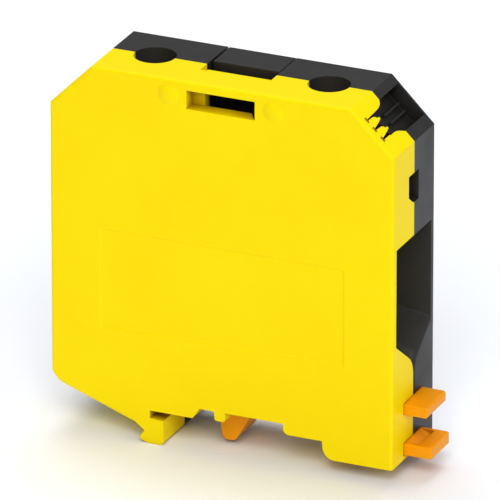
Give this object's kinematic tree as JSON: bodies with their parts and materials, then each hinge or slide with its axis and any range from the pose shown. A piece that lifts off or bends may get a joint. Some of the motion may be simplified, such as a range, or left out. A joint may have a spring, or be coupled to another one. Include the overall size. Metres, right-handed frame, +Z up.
{
  "type": "din rail terminal block",
  "caption": "Feed-through terminal block for a top-hat rail: two-part housing, screw-driven rising clamps on one current bar, sprung foot latch and lift-off cover.",
  "frame": {"origin": "middle of the 35 mm rail, on the plane of its flange tops, halfway through the block's 20 mm width", "axes": "+Z up from the rail towards the screws, +Y along the rail towards the black half shell, +X along the block towards the latch end"},
  "size_m": [0.0762, 0.0206, 0.0753],
  "materials": {
    "housing_yellow": "fine satin moulded polyamide",
    "housing_black": "fine satin moulded polyamide",
    "cover_black": "fine satin moulded polyamide",
    "slide_orange": "satin moulded acetal",
    "copper_tinned": "tin-plated copper",
    "steel_zinc": "zinc-plated and passivated",
    "screw_steel": "hardened steel, zinc-plated",
    "spring_steel": "drawn spring wire"
  },
  "bodies": {
    "housing": {"housing_front": "housing_yellow", "housing_rear": "housing_black", "current_bar": "copper_tinned", "latch_spring": "spring_steel"},
    "cover": {"bridge_cover": "cover_black"},
    "latch": {"foot_latch": "slide_orange"},
    "lock": {"foot_lock": "slide_orange"},
    "screw_left": {"clamp_screw_left": "screw_steel"},
    "screw_right": {"clamp_screw_right": "screw_steel"},
    "clamp_left": {"clamp_sleeve_left": "steel_zinc", "thread_plate_left": "steel_zinc"},
    "clamp_right": {"clamp_sleeve_right": "steel_zinc", "thread_plate_right": "steel_zinc"}
  },
  "joints": [
    {"name": "cover_lift", "type": "slide", "parent": "housing", "child": "cover", "axis": [0, 0, 1], "range_m": [0, 0.0105]},
    {"name": "latch_pull", "type": "slide", "parent": "housing", "child": "latch", "axis": [1, 0, 0], "range_m": [0, 0.0032], "stiffness_N_per_m": 600, "springref_m": -0.002, "deforming": ["latch_spring"]},
    {"name": "lock_pull", "type": "slide", "parent": "housing", "child": "lock", "axis": [1, 0, 0], "range_m": [0, 0.004]},
    {"name": "clamp_rise_left", "type": "slide", "parent": "housing", "child": "clamp_left", "axis": [0, 0, 1], "range_m": [0, 0.0123]},
    {"name": "screw_turn_left", "type": "hinge", "parent": "housing", "child": "screw_left", "pos_m": [-0.0209, 0, 0.06], "axis": [0, 0, 1], "range_deg": [-4429, 0]},
    {"name": "clamp_rise_right", "type": "slide", "parent": "housing", "child": "clamp_right", "axis": [0, 0, 1], "range_m": [0, 0.0123]},
    {"name": "screw_turn_right", "type": "hinge", "parent": "housing", "child": "screw_right", "pos_m": [0.0148, 0, 0.06], "axis": [0, 0, 1], "range_deg": [-4429, 0]}
  ],
  "couplings": [
    {"joint": "screw_turn_left", "follows": "clamp_rise_left", "rad_per_m": -6283.2},
    {"joint": "screw_turn_right", "follows": "clamp_rise_right", "rad_per_m": -6283.2}
  ]
}
